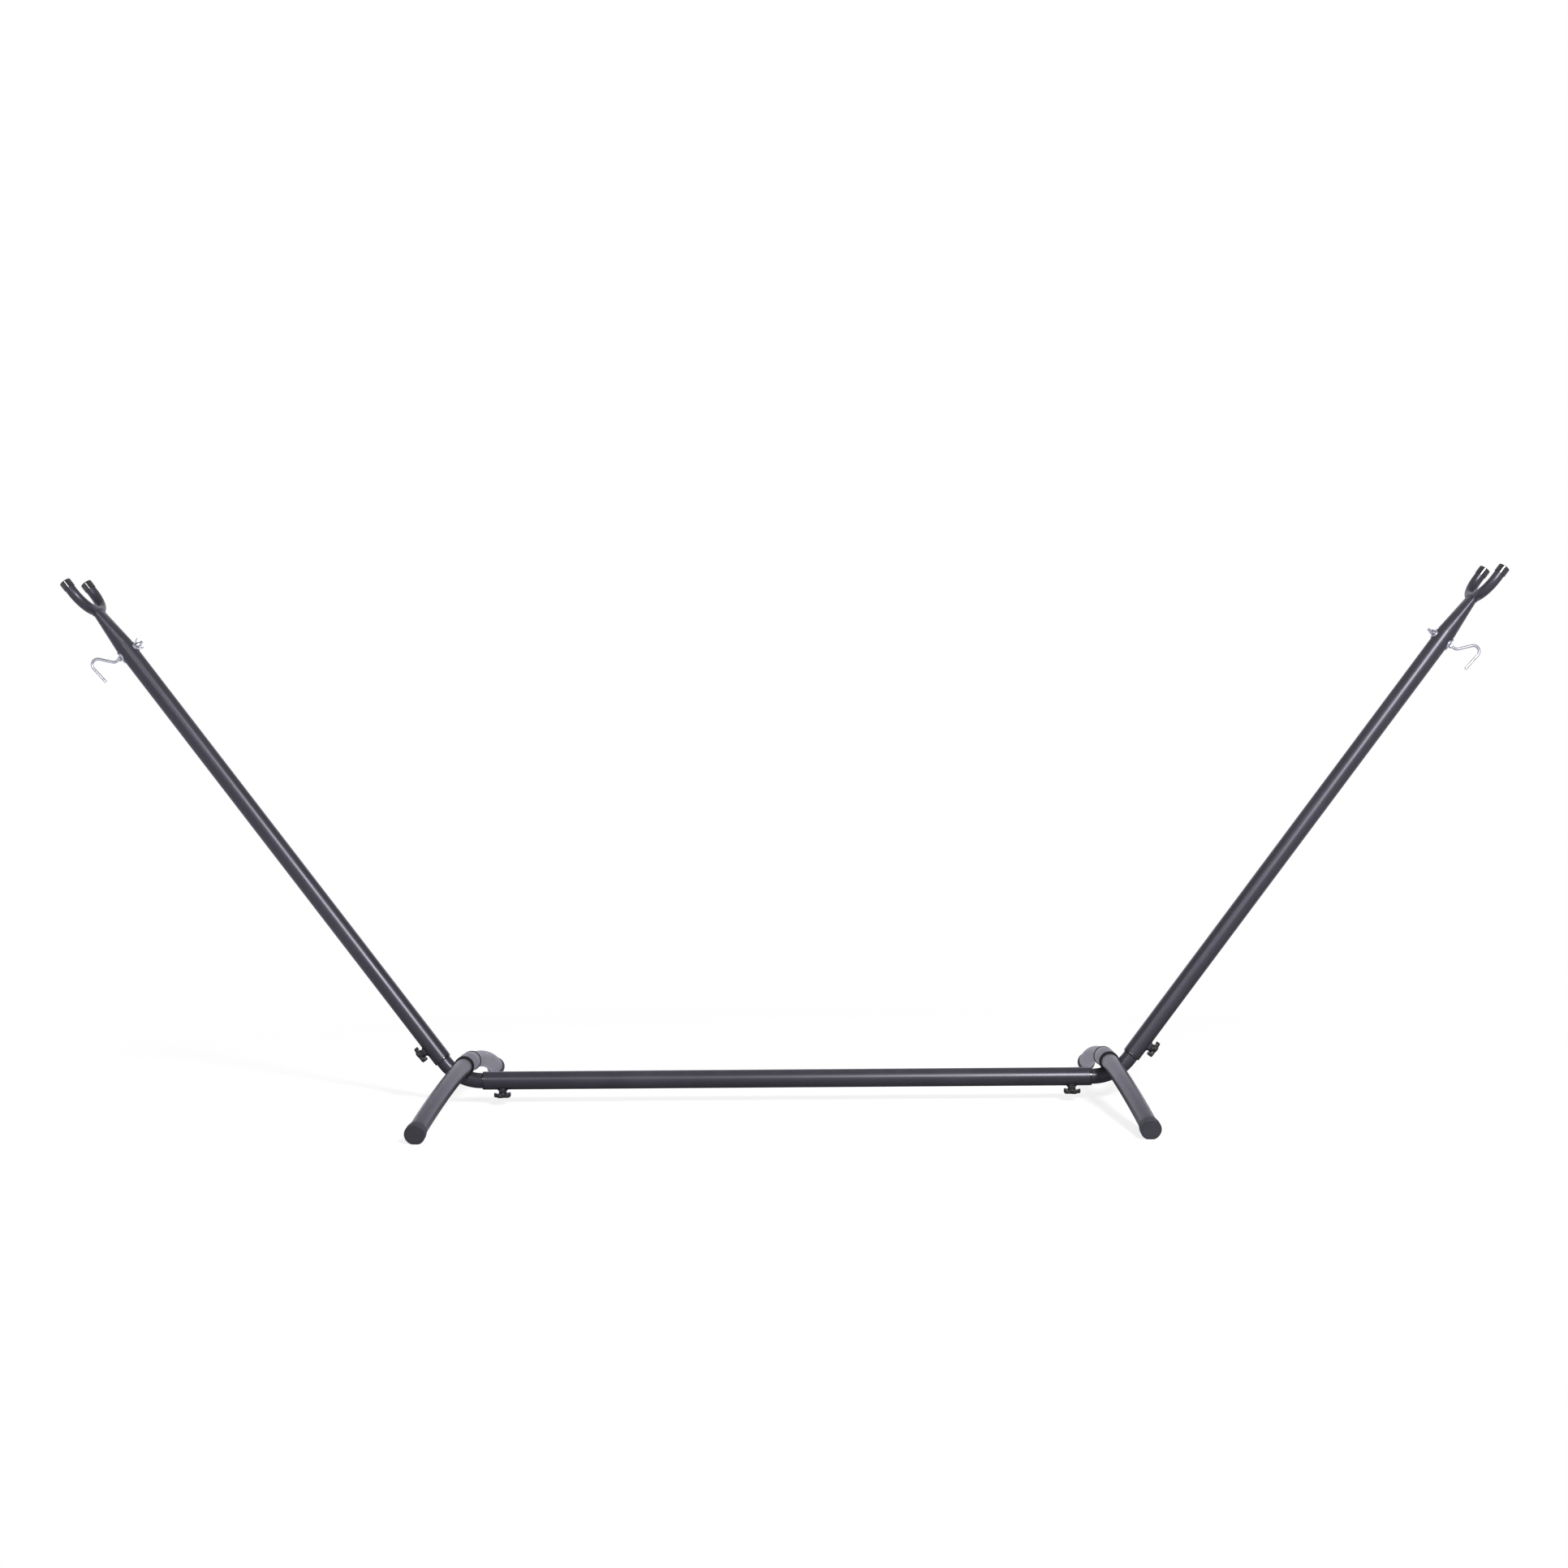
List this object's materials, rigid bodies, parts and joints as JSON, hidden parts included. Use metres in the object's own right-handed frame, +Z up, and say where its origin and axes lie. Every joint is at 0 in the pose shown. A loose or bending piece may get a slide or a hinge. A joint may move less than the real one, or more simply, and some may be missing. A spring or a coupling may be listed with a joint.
{
  "type": "hammock stand",
  "caption": "Free-standing steel tube hammock stand: base bar, arched feet, leaning uprights with fork ends and wire hooks, clamped by star knobs.",
  "frame": {"origin": "on the floor, midway between the two feet and midway between the front and back leg caps", "axes": "+X along the base bar to the viewer's right, +Y away from the viewer, +Z up"},
  "size_m": [3.0112, 1.0098, 1.12],
  "materials": {
    "powder_coat": "black powder coat, slightly satin",
    "cap_plastic": "black moulded plastic",
    "gloss_plastic": "glossy black moulded plastic",
    "knob_plastic": "black moulded plastic",
    "zinc": "bright zinc plate"
  },
  "bodies": {
    "base": {"base_bar": "powder_coat", "left_bar_bush": "gloss_plastic", "left_bar_weld_nut": "powder_coat", "right_bar_bush": "gloss_plastic", "right_bar_weld_nut": "powder_coat"},
    "left_foot": {"left_elbow": "powder_coat", "left_foot_sleeve": "powder_coat", "left_foot_weld": "powder_coat", "left_front_leg": "powder_coat", "left_front_collar": "cap_plastic", "left_front_leg_cap": "cap_plastic", "left_back_leg": "powder_coat", "left_back_collar": "cap_plastic", "left_back_leg_cap": "cap_plastic"},
    "left_upright": {"left_upright": "powder_coat", "left_upright_bush": "gloss_plastic", "left_upright_weld_nut": "powder_coat", "left_fork": "powder_coat", "left_front_fork_cap": "gloss_plastic", "left_back_fork_cap": "gloss_plastic", "left_outer_saddle": "zinc"},
    "left_bar_stud": {"left_bar_knob_stud": "zinc"},
    "left_bar_knob": {"left_bar_knob": "knob_plastic"},
    "left_upright_stud": {"left_upright_knob_stud": "zinc"},
    "left_upright_knob": {"left_upright_knob": "knob_plastic"},
    "left_hook": {"left_hook": "zinc", "left_hook_nut": "zinc"},
    "left_nut_saddle": {"left_inner_saddle": "zinc"},
    "left_wing_nut": {"left_wing_nut": "zinc"},
    "right_foot": {"right_elbow": "powder_coat", "right_foot_sleeve": "powder_coat", "right_foot_weld": "powder_coat", "right_front_leg": "powder_coat", "right_front_collar": "cap_plastic", "right_front_leg_cap": "cap_plastic", "right_back_leg": "powder_coat", "right_back_collar": "cap_plastic", "right_back_leg_cap": "cap_plastic"},
    "right_upright": {"right_upright": "powder_coat", "right_upright_bush": "gloss_plastic", "right_upright_weld_nut": "powder_coat", "right_fork": "powder_coat", "right_front_fork_cap": "gloss_plastic", "right_back_fork_cap": "gloss_plastic", "right_outer_saddle": "zinc"},
    "right_bar_stud": {"right_bar_knob_stud": "zinc"},
    "right_bar_knob": {"right_bar_knob": "knob_plastic"},
    "right_upright_stud": {"right_upright_knob_stud": "zinc"},
    "right_upright_knob": {"right_upright_knob": "knob_plastic"},
    "right_hook": {"right_hook": "zinc", "right_hook_nut": "zinc"},
    "right_nut_saddle": {"right_inner_saddle": "zinc"},
    "right_wing_nut": {"right_wing_nut": "zinc"}
  },
  "joints": [
    {"name": "left_foot_slide", "type": "slide", "parent": "base", "child": "left_foot", "axis": [-1, 0, 0], "range_m": [0, 0.06]},
    {"name": "left_upright_slide", "type": "slide", "parent": "left_foot", "child": "left_upright", "axis": [-0.6046, 0, 0.7965], "range_m": [0, 0.06]},
    {"name": "left_bar_stud_travel", "type": "slide", "parent": "base", "child": "left_bar_stud", "axis": [0, 0, -1], "range_m": [0, 0.0051]},
    {"name": "left_bar_knob_turn", "type": "hinge", "parent": "left_bar_stud", "child": "left_bar_knob", "pos_m": [-0.5975, 0, 0.0335], "axis": [0, 0, -1], "range_deg": [0, 1440]},
    {"name": "left_upright_stud_travel", "type": "slide", "parent": "left_upright", "child": "left_upright_stud", "axis": [-0.7965, 0, -0.6046], "range_m": [0, 0.0051]},
    {"name": "left_upright_knob_turn", "type": "hinge", "parent": "left_upright_stud", "child": "left_upright_knob", "pos_m": [-0.76026, 0, 0.11429], "axis": [-0.7965, 0, -0.6046], "range_deg": [0, 1440]},
    {"name": "left_hook_turn", "type": "hinge", "parent": "left_upright", "child": "left_hook", "pos_m": [-1.39509, 0, 0.95065], "axis": [-0.7965, 0, -0.6046], "continuous": true},
    {"name": "left_nut_travel", "type": "slide", "parent": "left_upright", "child": "left_nut_saddle", "axis": [0.7965, 0, 0.6046], "range_m": [0, 0.0051]},
    {"name": "left_wing_nut_turn", "type": "hinge", "parent": "left_nut_saddle", "child": "left_wing_nut", "pos_m": [-1.36482, 0, 0.97362], "axis": [0.7965, 0, 0.6046], "range_deg": [0, 1800]},
    {"name": "right_foot_slide", "type": "slide", "parent": "base", "child": "right_foot", "axis": [1, 0, 0], "range_m": [0, 0.06]},
    {"name": "right_upright_slide", "type": "slide", "parent": "right_foot", "child": "right_upright", "axis": [0.6046, 0, 0.7965], "range_m": [0, 0.06]},
    {"name": "right_bar_stud_travel", "type": "slide", "parent": "base", "child": "right_bar_stud", "axis": [0, 0, -1], "range_m": [0, 0.0051]},
    {"name": "right_bar_knob_turn", "type": "hinge", "parent": "right_bar_stud", "child": "right_bar_knob", "pos_m": [0.5975, 0, 0.0335], "axis": [0, 0, -1], "range_deg": [0, 1440]},
    {"name": "right_upright_stud_travel", "type": "slide", "parent": "right_upright", "child": "right_upright_stud", "axis": [0.7965, 0, -0.6046], "range_m": [0, 0.0051]},
    {"name": "right_upright_knob_turn", "type": "hinge", "parent": "right_upright_stud", "child": "right_upright_knob", "pos_m": [0.76026, 0, 0.11429], "axis": [0.7965, 0, -0.6046], "range_deg": [0, 1440]},
    {"name": "right_hook_turn", "type": "hinge", "parent": "right_upright", "child": "right_hook", "pos_m": [1.39509, 0, 0.95065], "axis": [0.7965, 0, -0.6046], "continuous": true},
    {"name": "right_nut_travel", "type": "slide", "parent": "right_upright", "child": "right_nut_saddle", "axis": [-0.7965, 0, 0.6046], "range_m": [0, 0.0051]},
    {"name": "right_wing_nut_turn", "type": "hinge", "parent": "right_nut_saddle", "child": "right_wing_nut", "pos_m": [1.36482, 0, 0.97362], "axis": [-0.7965, 0, 0.6046], "range_deg": [0, 1800]}
  ],
  "couplings": [
    {"joint": "left_bar_stud_travel", "follows": "left_bar_knob_turn", "m_per_rad": 0.00019894},
    {"joint": "left_upright_stud_travel", "follows": "left_upright_knob_turn", "m_per_rad": 0.00019894},
    {"joint": "left_nut_travel", "follows": "left_wing_nut_turn", "m_per_rad": 0.00015915},
    {"joint": "right_bar_stud_travel", "follows": "right_bar_knob_turn", "m_per_rad": 0.00019894},
    {"joint": "right_upright_stud_travel", "follows": "right_upright_knob_turn", "m_per_rad": 0.00019894},
    {"joint": "right_nut_travel", "follows": "right_wing_nut_turn", "m_per_rad": 0.00015915}
  ]
}
